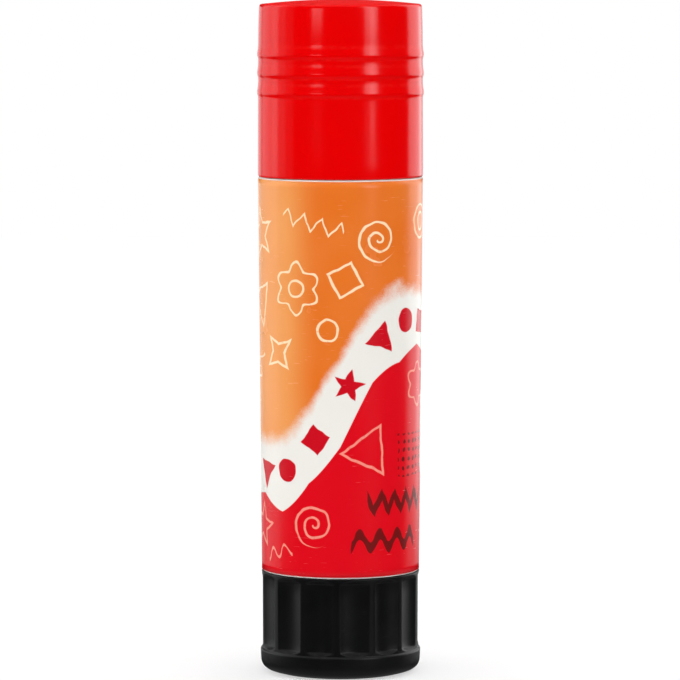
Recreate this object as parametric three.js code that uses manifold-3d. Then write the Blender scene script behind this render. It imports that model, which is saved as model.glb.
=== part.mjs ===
// Twist-up glue stick in millimetres, +Z up, standing on its knob with the origin under its axis.
// The knob turns a left-hand lead screw inside the barrel. Two keys in the bore stop the carrier
// from turning, so the carrier and its glue rise. A push-on cap closes the neck of the barrel.

import * as THREE from "three";
import { mergeVertices } from "three/addons/utils/BufferGeometryUtils.js";
import Module from "manifold-3d";

const wasm = await Module();
wasm.setup();

// Twist knob
const knobHeight = 12.95;
const knobOverhang = 0.12;
const knobDraft = 0.04;
const knobRimRound = 0.15;
const knobWall = 1.25;
const knobFloor = 1.5;
const flangeOverhang = 0.205;
const flangeDraft = 0.075;
const flangeHeight = 3.1;
const flangeStep = 0.2;
const footRound = 1.4;
const footLift = 0.25;
const footBevelWidth = 0.75;
const footRingWidth = 1;
const footRecessDepth = 0.4;
const fluteCount = 14;
const fluteDepth = 0.55;
const fluteCutterRadius = 4.7;
const fluteRunout = 0.5;
const fluteTopMargin = 0.2;
const knobTurnDegrees = -2.5;
const knobHubDiameter = 8.4;
const webCount = 4;
const webThickness = 1;
const socketFloor = 1.6;

// Barrel, whose head sets the diameters of the knob and the cap
const barrelHeadDiameter = 20.72;
const barrelDraft = 0.42;
const barrelLength = 50.18;
const shoulderWidth = 1.16;
const shoulderRound = 0.15;
const spigotLength = 2.4;
const spigotWall = 1.1;
const partitionRise = 0.9;
const partitionThickness = 1.4;
const neckWall = 0.85;
const mouthRound = 0.3;
const neckBeadRise = 0.08;
const neckBeadHeight = 0.9;
const neckBeadSpacing = 3.2;
const neckBeadCount = 2;
const keyDepth = 0.5;
const keyWidth = 1.2;
const keyStop = 2;

// Label, a film wrapped once round the barrel and lapped at the back
const labelThickness = 0.1;
const labelHeadMargin = 0.15;
const labelFootMargin = 0.15;
const labelLap = 3;
const labelLapSlope = 1;

// Cap
const capHeight = 22.42;
const capWall = 1.15;
const capDraft = 0.065;
const crownDraft = 0.115;
const capHeadroom = 5.5;
const capRimRound = 0.25;
const capLeadIn = 0.3;
const capInnerRound = 0.6;
const crownThickness = 1.5;
const crownRise = 0.57;
const crownRound = 0.35;
const ringCount = 3;
const ringPitch = 2.4;
const ringRise = 0.15;
const ringRamp = 1.1;
const ringReturn = 0.55;
const topRingDepth = 6.98;

// Lead screw
const screwLead = 5;
const screwCoreDiameter = 3.5;
const screwCrestDiameter = 5.5;
const threadRootWidth = 2.2;
const threadCrestWidth = 1.4;
const screwTipDepth = 10.6;
const screwTipRound = 0.6;
const journalDiameter = 5.9;
const collarDiameter = 10;
const collarThickness = 1.1;
const shankWidth = 4;

// Glue carrier and glue
const carrierHeight = 8;
const carrierWall = 1;
const carrierFloor = 1.2;
const nutDiameter = 8.4;
const nutHeight = 8.5;
const glueDepthInMouth = 1.7;
const glueTopRound = 0.5;
const glueTopDish = 0.25;
const glueOverScrew = 0.6;

// Clearances between pieces
const turningGap = 0.1;
const journalClearance = 0.15;
const spigotClearance = 0.25;
const seatGap = 0.05;
const capClearance = 0.15;
const slidingClearance = 0.15;
const threadClearance = 0.3;
const socketClearance = 0.05;
const carrierRestGap = 0.3;
const castGap = 0.1;
const labelGap = 0.01;

// Smoothness of the shapes
const facets = 48;
const fluteFacets = 24;
const threadSteps = 16;
const roundSteps = 3;
const crownSteps = 3;
const embed = 0.4;

// Heights above the foot
const barrelFootZ = knobHeight + turningGap;
const capRimZ = barrelFootZ + barrelLength + seatGap;
const partitionZ = barrelFootZ + partitionRise;
const boreFloorZ = partitionZ + partitionThickness;
const collarZ = boreFloorZ + turningGap;
const collarTopZ = collarZ + collarThickness;
const carrierZ = collarTopZ + carrierRestGap;
const threadStartZ = collarTopZ + turningGap + threadRootWidth / 2;
const neckLength = capHeight - crownThickness - capHeadroom;
const mouthZ = barrelFootZ + barrelLength + neckLength;
const screwTipZ = mouthZ - screwTipDepth;
const knobFloorZ = footRecessDepth + knobFloor;
const hubTopZ = partitionZ - turningGap;
const socketZ = knobFloorZ + socketFloor;

// Radii outside, from the head of the barrel down to the foot and up to the crown
const headRadius = barrelHeadDiameter / 2;
const barrelFootRadius = headRadius - barrelDraft;
const knobRimRadius = barrelFootRadius + knobOverhang;
const knobWaistRadius = knobRimRadius - knobDraft;
const flangeRadius = knobWaistRadius + flangeOverhang;
const flangeFootRadius = flangeRadius - flangeDraft;
const neckRadius = headRadius - shoulderWidth;
const capBoreRadius = neckRadius + capClearance;
const capRimRadius = capBoreRadius + capWall;
const capGripRadius = capRimRadius - capDraft;
const crownRadius = capGripRadius - crownDraft;

// Radii inside
const knobBoreRadius = knobWaistRadius - knobWall;
const spigotRadius = knobBoreRadius - spigotClearance;
const boreRadius = neckRadius - neckWall;
const carrierRadius = boreRadius - slidingClearance;
const cupRadius = carrierRadius - carrierWall;
const nutRadius = nutDiameter / 2;
const coreRadius = screwCoreDiameter / 2;
const crestRadius = screwCrestDiameter / 2;
const nutBoreRadius = crestRadius + threadClearance;

// Points of an arc in the profile plane, with angles in degrees from the outward direction
function arc(centreRadius, centreZ, radius, from, to, steps = roundSteps) {
  return Array.from({ length: steps + 1 }, (_, i) => {
    const angle = THREE.MathUtils.degToRad(from + ((to - from) * i) / steps);
    return [centreRadius + radius * Math.cos(angle), centreZ + radius * Math.sin(angle)];
  });
}

// A profile of [radius, height] points turned round the Z axis
function turned(profile, segments = facets) {
  const points = profile.map(([radius, z]) => new THREE.Vector2(radius, z));
  return new THREE.LatheGeometry(points, segments).rotateX(Math.PI / 2);
}

// A block between two radii and two heights, at an angle round the axis
function radialBlock(innerRadius, outerRadius, width, bottomZ, topZ, angle) {
  const block = new THREE.BoxGeometry(outerRadius - innerRadius, width, topZ - bottomZ);
  return block.translate((innerRadius + outerRadius) / 2, 0, (bottomZ + topZ) / 2).rotateZ(angle);
}

// A square bar on the axis
function squareBar(width, bottomZ, topZ) {
  return radialBlock(-width / 2, width / 2, width, bottomZ, topZ, 0);
}

// Angles of copies spread evenly round the axis
function spread(count) {
  return Array.from({ length: count }, (_, i) => (2 * Math.PI * i) / count);
}

function solidOf(geometry) {
  const bare = geometry.clone();
  bare.deleteAttribute("normal");
  bare.deleteAttribute("uv");
  const merged = mergeVertices(bare);
  const mesh = new wasm.Mesh({
    numProp: 3,
    vertProperties: merged.attributes.position.array,
    triVerts: new Uint32Array(merged.index.array),
  });
  return new wasm.Manifold(mesh);
}

function geometryOf(solid) {
  const { vertProperties, triVerts } = solid.getMesh();
  const geometry = new THREE.BufferGeometry();
  geometry.setAttribute("position", new THREE.BufferAttribute(vertProperties, 3));
  geometry.setIndex(new THREE.BufferAttribute(triVerts, 1));
  geometry.computeVertexNormals();
  return geometry;
}

function join(base, pieces) {
  return pieces.reduce((solid, piece) => solid.add(solidOf(piece)), base);
}

function cut(base, tools) {
  return tools.reduce((solid, tool) => solid.subtract(solidOf(tool)), base);
}

// The two keys in the bore or, with a clearance, the slots that run on them
function keyBlocks(bottomZ, topZ, clearance = 0) {
  const innerRadius = boreRadius - keyDepth - clearance;
  const width = keyWidth + 2 * clearance;
  return spread(2).map((angle) =>
    radialBlock(innerRadius, boreRadius + embed, width, bottomZ, topZ, angle),
  );
}

// Axial width of the screw's thread at a radius
function threadWidth(radius) {
  const share = (radius - coreRadius) / (crestRadius - coreRadius);
  return THREE.MathUtils.lerp(threadRootWidth, threadCrestWidth, share);
}

// Axial width of the nut's ridge at a radius, which fills the space between two turns of the thread
function ridgeWidth(radius) {
  return screwLead - threadWidth(radius) - 2 * threadClearance;
}

// A ridge that climbs one lead in each left-hand turn. Turn 0 has its middle at startZ.
function helix({ innerRadius, outerRadius, width, startZ, fromTurn, toTurn }) {
  const section = [
    [innerRadius, -width(innerRadius) / 2],
    [outerRadius, -width(outerRadius) / 2],
    [outerRadius, width(outerRadius) / 2],
    [innerRadius, width(innerRadius) / 2],
  ];
  const corners = section.length;
  const steps = Math.floor((toTurn - fromTurn) * threadSteps);
  const positions = [];
  const indices = [];
  for (let step = 0; step <= steps; step++) {
    const turn = fromTurn + step / threadSteps;
    const angle = -2 * Math.PI * turn;
    for (const [radius, rise] of section) {
      const z = startZ + screwLead * turn + rise;
      positions.push(radius * Math.cos(angle), radius * Math.sin(angle), z);
    }
  }
  for (let step = 0; step < steps; step++) {
    for (let side = 0; side < corners; side++) {
      const a = step * corners + side;
      const b = step * corners + ((side + 1) % corners);
      indices.push(a, b, a + corners, b, b + corners, a + corners);
    }
  }
  const last = steps * corners;
  indices.push(0, 2, 1, 0, 3, 2, last, last + 1, last + 2, last, last + 2, last + 3);
  const geometry = new THREE.BufferGeometry();
  geometry.setAttribute("position", new THREE.Float32BufferAttribute(positions, 3));
  return geometry.setIndex(indices);
}

// The tool that cuts one shallow flute of the knob, with sloping ends
function fluteCutter(angle) {
  const topZ = knobHeight - fluteTopMargin;
  const endRadius = fluteCutterRadius - fluteDepth;
  const profile = [
    [0, flangeHeight],
    [endRadius, flangeHeight],
    [fluteCutterRadius, flangeHeight + fluteRunout],
    [fluteCutterRadius, topZ - fluteRunout],
    [endRadius, topZ],
    [0, topZ],
  ];
  const toolAxis = knobWaistRadius - fluteDepth + fluteCutterRadius;
  return turned(profile, fluteFacets).translate(toolAxis, 0, 0).rotateZ(angle);
}

// The knob stands on a narrow ring, and its underside rises from there to the rounded rim
function twistKnob() {
  const hubRadius = knobHubDiameter / 2;
  const roundRadius = flangeFootRadius - footRound;
  const ringRadius = roundRadius - footBevelWidth;
  const recessRadius = ringRadius - footRingWidth;
  const body = turned([
    [0, footRecessDepth],
    [recessRadius, footRecessDepth],
    [recessRadius, 0],
    [ringRadius, 0],
    ...arc(roundRadius, footLift + footRound, footRound, -90, 0),
    [flangeRadius, flangeHeight - flangeStep],
    [knobWaistRadius, flangeHeight],
    ...arc(knobRimRadius - knobRimRound, knobHeight - knobRimRound, knobRimRound, 0, 90),
    [knobBoreRadius, knobHeight],
    [knobBoreRadius, knobFloorZ],
    [hubRadius, knobFloorZ],
    [hubRadius, hubTopZ],
    [0, hubTopZ],
  ]);
  const webTopZ = barrelFootZ - spigotLength - spigotClearance;
  const webFromZ = knobFloorZ - embed;
  const webs = spread(webCount).map((angle) =>
    radialBlock(hubRadius - embed, knobBoreRadius + embed, webThickness, webFromZ, webTopZ, angle),
  );
  const socket = squareBar(shankWidth + 2 * socketClearance, socketZ, hubTopZ + embed);
  const flutes = spread(fluteCount).map(fluteCutter);
  return cut(join(solidOf(body), webs), [socket, ...flutes]);
}

function leadScrew() {
  const journalRadius = journalDiameter / 2;
  const collarRadius = collarDiameter / 2;
  const journalZ = hubTopZ + seatGap;
  const body = turned(
    [
      [0, journalZ],
      [journalRadius, journalZ],
      [journalRadius, collarZ],
      [collarRadius, collarZ],
      [collarRadius, collarTopZ],
      [coreRadius, collarTopZ],
      ...arc(coreRadius - screwTipRound, screwTipZ - screwTipRound, screwTipRound, 0, 90),
      [0, screwTipZ],
    ],
    threadSteps,
  );
  const shank = squareBar(shankWidth, socketZ + seatGap, journalZ + embed);
  const threadTopZ = screwTipZ - screwTipRound - threadRootWidth / 2;
  const thread = helix({
    innerRadius: coreRadius - embed,
    outerRadius: crestRadius,
    width: threadWidth,
    startZ: threadStartZ,
    fromTurn: 0,
    toTurn: (threadTopZ - threadStartZ) / screwLead,
  });
  return join(solidOf(body), [shank, thread]);
}

// Sealing beads of the neck, from the lowest up
function neckBeads(mouthHeight) {
  return Array.from({ length: neckBeadCount }, (_, i) => {
    const z = mouthHeight - neckBeadSpacing * (neckBeadCount - i);
    return [
      [neckRadius, z - neckBeadHeight / 2],
      [neckRadius + neckBeadRise, z],
      [neckRadius, z + neckBeadHeight / 2],
    ];
  }).flat();
}

// The barrel stands on its foot face, with its spigot below
function barrel() {
  const spigotInnerRadius = spigotRadius - spigotWall;
  const holeRadius = journalDiameter / 2 + journalClearance;
  const mouthHeight = barrelLength + neckLength;
  const floorHeight = partitionRise + partitionThickness;
  const body = turned([
    [holeRadius, partitionRise],
    [spigotInnerRadius, partitionRise],
    [spigotInnerRadius, -spigotLength],
    [spigotRadius, -spigotLength],
    [spigotRadius, 0],
    [barrelFootRadius, 0],
    [headRadius, barrelLength - shoulderRound],
    [headRadius - shoulderRound, barrelLength],
    [neckRadius, barrelLength],
    ...neckBeads(mouthHeight),
    ...arc(neckRadius - mouthRound, mouthHeight - mouthRound, mouthRound, 0, 90),
    [boreRadius, mouthHeight],
    [boreRadius, floorHeight],
    [holeRadius, floorHeight],
    [holeRadius, partitionRise],
  ]);
  return join(solidOf(body), keyBlocks(floorHeight - embed, mouthHeight - keyStop));
}

// Radius of the barrel's side at a height above its foot face
function barrelRadius(z) {
  const share = z / (barrelLength - shoulderRound);
  return THREE.MathUtils.lerp(barrelFootRadius, headRadius, share);
}

// The film's section across the axis, one layer thick and two where its end laps its start
function labelOutline(innerRadius) {
  const lapAngle = labelLap / innerRadius;
  const slopeAngle = labelLapSlope / innerRadius;
  const lapStart = (Math.PI - lapAngle) / 2;
  const lapEnd = lapStart + lapAngle;
  const slopeStart = lapStart - slopeAngle;
  const at = (layers) => (angle) => {
    const radius = innerRadius + layers * labelThickness;
    return new THREE.Vector2(radius * Math.cos(angle), radius * Math.sin(angle));
  };
  const around = spread(facets);
  const beforeLap = around.filter((angle) => angle < slopeStart);
  const onLap = around.filter((angle) => angle > lapStart && angle < lapEnd);
  const afterLap = around.filter((angle) => angle > lapEnd);
  const outline = new THREE.Shape([
    ...[...beforeLap, slopeStart].map(at(1)),
    ...[lapStart, ...onLap, lapEnd].map(at(2)),
    ...[lapEnd, ...afterLap].map(at(1)),
  ]);
  outline.holes.push(new THREE.Path(around.map(at(0))));
  return outline;
}

// The film runs up the barrel's taper, so its upper edge is wider
function label() {
  const footRadius = barrelRadius(labelFootMargin);
  const length = barrelLength - labelFootMargin - labelHeadMargin;
  const growth = barrelRadius(labelFootMargin + length) - footRadius;
  const options = { depth: length, bevelEnabled: false };
  const film = new THREE.ExtrudeGeometry(labelOutline(footRadius + labelGap), options);
  const { position } = film.attributes;
  for (let i = 0; i < position.count; i++) {
    const radius = Math.hypot(position.getX(i), position.getY(i));
    const scale = 1 + (growth * position.getZ(i)) / (length * radius);
    position.setXY(i, position.getX(i) * scale, position.getY(i) * scale);
  }
  return solidOf(film.translate(0, 0, labelFootMargin));
}

// The cup slides in the bore, with the nut standing on its floor
function glueCarrier() {
  const body = turned([
    [nutBoreRadius, 0],
    [carrierRadius, 0],
    [carrierRadius, carrierHeight],
    [cupRadius, carrierHeight],
    [cupRadius, carrierFloor],
    [nutRadius, carrierFloor],
    [nutRadius, nutHeight],
    [nutBoreRadius, nutHeight],
    [nutBoreRadius, 0],
  ]);
  const ridgeRadius = nutBoreRadius + embed;
  const startZ = threadStartZ - carrierZ + screwLead / 2;
  const endMargin = ridgeWidth(ridgeRadius) / 2 + turningGap;
  const ridge = helix({
    innerRadius: coreRadius + threadClearance,
    outerRadius: ridgeRadius,
    width: ridgeWidth,
    startZ,
    fromTurn: (endMargin - startZ) / screwLead,
    toTurn: (nutHeight - endMargin - startZ) / screwLead,
  });
  return cut(join(solidOf(body), [ridge]), keyBlocks(-embed, carrierHeight + embed, slidingClearance));
}

// The glue is cast round the nut and the screw, in the cup and above it
function glue() {
  const topZ = mouthZ - glueDepthInMouth - carrierZ;
  const boreTopZ = screwTipZ + glueOverScrew - carrierZ;
  const bottomZ = carrierFloor + castGap;
  const nutTopZ = nutHeight + castGap;
  const cupTopZ = carrierHeight + castGap;
  const body = turned([
    [0, boreTopZ],
    [nutBoreRadius, boreTopZ],
    [nutBoreRadius, nutTopZ],
    [nutRadius + castGap, nutTopZ],
    [nutRadius + castGap, bottomZ],
    [cupRadius - castGap, bottomZ],
    [cupRadius - castGap, cupTopZ],
    [carrierRadius, cupTopZ],
    ...arc(carrierRadius - glueTopRound, topZ - glueTopRound, glueTopRound, 0, 90),
    [carrierRadius / 2, topZ - glueTopDish / 2],
    [0, topZ - glueTopDish],
  ]);
  return cut(solidOf(body), keyBlocks(bottomZ, topZ + embed, slidingClearance));
}

// Radius of the cap's side at a height above its rim, up to the top ring
function capSideRadius(z) {
  const share = z / (capHeight - topRingDepth + ringRamp);
  return THREE.MathUtils.lerp(capRimRadius, capGripRadius, share);
}

// Grip rings from the lowest up: each steps out, then slopes back in
function gripRings() {
  return Array.from({ length: ringCount }, (_, i) => {
    const z = capHeight - topRingDepth - ringPitch * (ringCount - 1 - i);
    return [
      [capSideRadius(z - ringReturn), z - ringReturn],
      [capSideRadius(z) + ringRise, z],
      [capSideRadius(z + ringRamp), z + ringRamp],
    ];
  }).flat();
}

// The cap is drawn from its rim up
function cap() {
  const ceilingZ = capHeight - crownThickness;
  const domeRadius = crownRadius - crownRound;
  const domeEdgeZ = capHeight - crownRise;
  const dome = Array.from({ length: crownSteps }, (_, i) => {
    const share = 1 - (i + 1) / crownSteps;
    return [domeRadius * share, capHeight - crownRise * share ** 2];
  });
  return solidOf(
    turned([
      [0, ceilingZ],
      ...arc(capBoreRadius - capInnerRound, ceilingZ - capInnerRound, capInnerRound, 90, 0),
      [capBoreRadius, capLeadIn],
      [capBoreRadius + capLeadIn, 0],
      ...arc(capRimRadius - capRimRound, capRimRound, capRimRound, -90, 0),
      ...gripRings(),
      ...arc(domeRadius, domeEdgeZ - crownRound, crownRound, 0, 90),
      ...dome,
    ]),
  );
}

function part(name, solid, color, roughness) {
  const material = new THREE.MeshStandardMaterial({ color, roughness, metalness: 0 });
  const mesh = new THREE.Mesh(geometryOf(solid), material);
  mesh.name = name;
  return mesh;
}

const white = 0xe8e8e4;

const drive = new THREE.Group();
drive.rotation.z = THREE.MathUtils.degToRad(knobTurnDegrees);
drive.add(part("twist_knob", twistKnob(), 0x111111, 0.35), part("lead_screw", leadScrew(), white, 0.45));

const body = new THREE.Group();
body.position.z = barrelFootZ;
body.add(part("barrel", barrel(), white, 0.4), part("label", label(), 0xe2743c, 0.35));

const lift = new THREE.Group();
lift.position.z = carrierZ;
lift.add(part("glue_carrier", glueCarrier(), white, 0.45), part("glue", glue(), 0xefe9da, 0.5));

const cover = new THREE.Group();
cover.position.z = capRimZ;
cover.add(part("cap", cap(), 0xe20002, 0.2));

const glueStick = new THREE.Group();
glueStick.add(drive, body, lift, cover);

export default glueStick;
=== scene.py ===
from math import atan2, cos, degrees, pi, radians, sin, sqrt

import bmesh
import bpy
from mathutils import Matrix, Vector


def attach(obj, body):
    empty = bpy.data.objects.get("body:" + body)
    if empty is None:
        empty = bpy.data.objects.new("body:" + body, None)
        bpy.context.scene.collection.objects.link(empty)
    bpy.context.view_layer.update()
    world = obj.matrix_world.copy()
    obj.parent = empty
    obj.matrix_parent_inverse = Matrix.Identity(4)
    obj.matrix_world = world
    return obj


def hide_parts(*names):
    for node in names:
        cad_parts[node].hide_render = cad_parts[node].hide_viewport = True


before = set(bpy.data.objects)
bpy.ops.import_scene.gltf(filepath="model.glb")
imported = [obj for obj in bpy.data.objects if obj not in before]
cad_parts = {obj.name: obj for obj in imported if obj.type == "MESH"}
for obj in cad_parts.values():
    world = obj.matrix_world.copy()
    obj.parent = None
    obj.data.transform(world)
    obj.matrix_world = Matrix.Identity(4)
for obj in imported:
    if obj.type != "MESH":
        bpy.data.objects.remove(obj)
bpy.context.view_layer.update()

scene = bpy.context.scene
mm = 0.001


# A colour given as it looks on screen, 0 to 255, as Blender's linear values
def colour(red, green, blue):
    def linear(value):
        share = value / 255
        return share / 12.92 if share <= 0.04045 else ((share + 0.055) / 1.055) ** 2.4
    return (linear(red), linear(green), linear(blue), 1.0)


print("glue stick: mesh tools")


# Corners are (radius, height, rounding), and a fourth word names a surface that a shape acts on.
# Each rounded corner becomes a short curve. The rows that come back are (radius, height, edge,
# surface), where edge is 1 on an outer corner.
def roundedProfile(corners, steps=6):
    rows = []
    for number, (radius, height, rounding, *names) in enumerate(corners):
        surface = names[0] if names else ""
        if rounding == 0 or number in (0, len(corners) - 1):
            rows.append((radius, height, 0.0, surface))
            continue
        here = Vector((radius, height))
        before = Vector(corners[number - 1][:2]) - here
        after = Vector(corners[number + 1][:2]) - here
        reach = min(rounding, before.length * 0.48, after.length * 0.48)
        start = here + before.normalized() * reach
        end = here + after.normalized() * reach
        outer = before.cross(after) > 0
        for step in range(steps + 1):
            share = step / steps
            point = start.lerp(here, share).lerp(here.lerp(end, share), share)
            edge = 4 * share * (1 - share) if outer else 0.0
            rows.append((point.x, point.y, edge, surface))
    return rows


def held(value):
    return min(1, max(0, value))


# More rows along the straight parts, so that a shape can change along them
def refine(rows, longest):
    made = [rows[0]]
    for last, row in zip(rows, rows[1:]):
        length = Vector((row[0] - last[0], row[1] - last[1])).length
        parts = max(1, round(length / longest))
        for part in range(1, parts + 1):
            share = part / parts
            between = [a + (b - a) * share for a, b in zip(last[:3], row[:3])]
            made.append((*between, row[3]))
    return made


# Turns the rows round the axis. shape(radius, height, angle, surface) may move a point in or out.
def turnedForm(rows, steps, shape=None, ringed=False):
    form = bmesh.new()
    edgeLayer = form.verts.layers.float.new("edge")
    rings = []
    for radius, height, edge, surface in rows:
        ring = []
        for step in range(steps if radius > 1e-6 else 1):
            angle = 2 * pi * step / steps
            reach = shape(radius, height, angle, surface) if shape else radius
            vert = form.verts.new((reach * cos(angle) * mm, reach * sin(angle) * mm, height * mm))
            vert[edgeLayer] = edge
            ring.append(vert)
        rings.append(ring)
    following = rings[1:] + (rings[:1] if ringed else [])
    for lower, upper in zip(rings, following):
        for step in range(steps):
            after = step + 1
            corners = [
                lower[step % len(lower)],
                lower[after % len(lower)],
                upper[after % len(upper)],
                upper[step % len(upper)],
            ]
            form.faces.new(list(dict.fromkeys(corners)))
    return form


# A bar with softened edges, added to a form
def addBar(form, low, high, angle, soften):
    size = [(b - a) * mm for a, b in zip(low, high)]
    middle = [(a + b) / 2 * mm for a, b in zip(low, high)]
    made = bmesh.ops.create_cube(form, size=1)["verts"]
    bmesh.ops.scale(form, vec=size, verts=made)
    bmesh.ops.translate(form, vec=middle, verts=made)
    edges = list({edge for vert in made for edge in vert.link_edges})
    made = bmesh.ops.bevel(
        form, geom=edges, offset=soften * mm, segments=2, profile=0.5, affect="EDGES"
    )["faces"]
    verts = list({vert for face in made for vert in face.verts})
    bmesh.ops.rotate(form, matrix=Matrix.Rotation(angle, 3, "Z"), verts=verts)


# Makes a form a piece of the scene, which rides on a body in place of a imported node
def finishPiece(form, name, body, node, material):
    bmesh.ops.recalc_face_normals(form, faces=form.faces)
    mesh = bpy.data.meshes.new(name)
    form.to_mesh(mesh)
    form.free()
    for face in mesh.polygons:
        face.use_smooth = True
    mesh.materials.append(material)
    piece = bpy.data.objects.new(name, mesh)
    scene.collection.objects.link(piece)
    piece.modifiers.new("even normals", "WEIGHTED_NORMAL").weight = 70
    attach(piece, body)
    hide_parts(node)


print("glue stick: shader tools")


def plug(tree, value, socket):
    if isinstance(value, bpy.types.NodeSocket):
        tree.links.new(value, socket)
    else:
        socket.default_value = value


# A shader node with its settings by name and its inputs in a dictionary
def place(tree, kind, inputs=None, **settings):
    made = tree.nodes.new("ShaderNode" + kind)
    made.location = (220 * (len(tree.nodes) % 12), -260 * (len(tree.nodes) // 12))
    for name, value in settings.items():
        setattr(made, name, value)
    for name, value in (inputs or {}).items():
        plug(tree, value, made.inputs[name])
    return made


def calc(tree, operation, *values, kind="Math"):
    made = place(tree, kind, operation=operation)
    for socket, value in zip(made.inputs, values):
        plug(tree, value, socket)
    return made.outputs[0]


def plus(tree, first, second):
    return calc(tree, "ADD", first, second)


def minus(tree, first, second):
    return calc(tree, "SUBTRACT", first, second)


def times(tree, first, second):
    return calc(tree, "MULTIPLY", first, second)


def ramp(tree, value, low, high, toLow=0.0, toHigh=1.0, smooth=True):
    kind = "SMOOTHSTEP" if smooth else "LINEAR"
    inputs = {"Value": value, "From Min": low, "From Max": high, "To Min": toLow, "To Max": toHigh}
    return place(tree, "MapRange", inputs, interpolation_type=kind).outputs["Result"]


def mixColour(tree, share, first, second):
    made = place(tree, "Mix", data_type="RGBA")
    plug(tree, share, made.inputs["Factor"])
    plug(tree, first, made.inputs[6])
    plug(tree, second, made.inputs[7])
    return made.outputs[2]


def noise(tree, vector, scale, detail=2.0, roughness=0.5):
    inputs = {"Vector": vector, "Scale": scale, "Detail": detail, "Roughness": roughness}
    return place(tree, "TexNoise", inputs).outputs["Fac"]


def partsOf(tree, vector):
    return place(tree, "SeparateXYZ", {"Vector": vector}).outputs


def objectPoint(tree):
    return place(tree, "TexCoord").outputs["Object"]


# A group with named sockets. Inputs have their values in a dictionary, a tuple for a vector.
def startGroup(name, inputs, outputs):
    group = bpy.data.node_groups.new(name, "ShaderNodeTree")
    for socket, value in inputs.items():
        kind = "NodeSocketVector" if isinstance(value, tuple) else "NodeSocketFloat"
        made = group.interface.new_socket(name=socket, in_out="INPUT", socket_type=kind)
        made.default_value = value
    for socket in outputs:
        group.interface.new_socket(name=socket, in_out="OUTPUT", socket_type="NodeSocketFloat")
    start = group.nodes.new("NodeGroupInput")
    end = group.nodes.new("NodeGroupOutput")
    return group, start.outputs, end.inputs


def useGroup(tree, group, **values):
    made = place(tree, "Group", node_tree=group)
    for name, value in values.items():
        plug(tree, value, made.inputs[name])
    return made.outputs


# The skin of a moulding: a fine grain for the bump and a slow mottle for colour and gloss
def mouldedSkinGroup():
    inputs = {"GrainScale": 2600.0, "MottleScale": 160.0}
    group, given, result = startGroup("moulded skin", inputs, ["Grain", "Mottle"])
    at = objectPoint(group)
    fine = noise(group, at, given["GrainScale"], 3.0, 0.6)
    slow = noise(group, at, given["MottleScale"], 3.0, 0.55)
    broad = noise(group, at, times(group, given["MottleScale"], 0.3), 1.0)
    both = plus(group, times(group, slow, 0.6), times(group, broad, 0.4))
    plug(group, fine, result["Grain"])
    plug(group, ramp(group, both, 0.32, 0.68), result["Mottle"])
    return group


# Hairline scratches. Stretch is high across the scratches and low along them.
def hairlinesGroup():
    inputs = {"Stretch": (200.0, 200.0, 6000.0), "Share": 0.3}
    group, given, result = startGroup("hairlines", inputs, ["Lines"])
    at = objectPoint(group)
    stretched = calc(group, "MULTIPLY", at, given["Stretch"], kind="VectorMath")
    streaks = noise(group, stretched, 1.0, 2.0, 0.7)
    patches = noise(group, at, 260.0, 2.0)
    level = minus(group, 0.78, times(group, given["Share"], 0.3))
    lines = ramp(group, streaks, level, plus(group, level, 0.05))
    worn = ramp(group, patches, 0.45, 0.62)
    plug(group, times(group, lines, worn), result["Lines"])
    return group


# Rubbed outer corners, broken up by noise. Where a plastic tints them, the tint is wear, and on the cap and
# knob it is also a painted edge highlight. The meshes carry the corners in their edge attribute.
def rubbedEdgesGroup():
    inputs = {"Amount": 0.5, "BreakScale": 900.0}
    group, given, result = startGroup("rubbed edges", inputs, ["Rubbed"])
    at = objectPoint(group)
    edge = place(group, "Attribute", attribute_name="edge").outputs["Fac"]
    broken = ramp(group, noise(group, at, given["BreakScale"], 3.0, 0.65), 0.35, 0.62)
    outerCorners = times(group, ramp(group, edge, 0.35, 1.0), broken)
    plug(group, times(group, outerCorners, given["Amount"]), result["Rubbed"])
    return group


# Dust that settles on faces that look up
def settledDustGroup():
    inputs = {"Amount": 0.3, "SpeckScale": 1800.0}
    group, given, result = startGroup("settled dust", inputs, ["Dust", "Up"])
    at = objectPoint(group)
    normal = place(group, "NewGeometry").outputs["Normal"]
    up = ramp(group, partsOf(group, normal)["Z"], 0.3, 0.95)
    specks = ramp(group, noise(group, at, given["SpeckScale"], 4.0, 0.7), 0.5, 0.72)
    film = ramp(group, noise(group, at, 220.0, 2.0), 0.3, 0.75)
    both = plus(group, times(group, specks, 0.7), times(group, film, 0.3))
    dust = times(group, times(group, up, both), given["Amount"])
    plug(group, dust, result["Dust"])
    plug(group, up, result["Up"])
    return group


mouldedSkin = mouldedSkinGroup()
hairlines = hairlinesGroup()
rubbedEdges = rubbedEdgesGroup()
settledDust = settledDustGroup()


def startMaterial(name):
    material = bpy.data.materials.new(name)
    material.use_nodes = True
    tree = material.node_tree
    shader = tree.nodes["Principled BSDF"]
    return material, tree, shader


# Adds values to a base, each by its share
def sumOf(tree, base, *rows):
    for value, share in rows:
        base = plus(tree, base, times(tree, value, share))
    return base


# The colour, the gloss, relief in mm over the surface, and values that are the same all over
def finishShader(tree, shader, tint, gloss, relief, depth, values):
    plug(tree, tint, shader.inputs["Base Color"])
    plug(tree, gloss, shader.inputs["Roughness"])
    bump = place(tree, "Bump", {"Height": relief, "Distance": depth * mm})
    plug(tree, bump.outputs["Normal"], shader.inputs["Normal"])
    for name, value in values.items():
        shader.inputs[name].default_value = value
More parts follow.
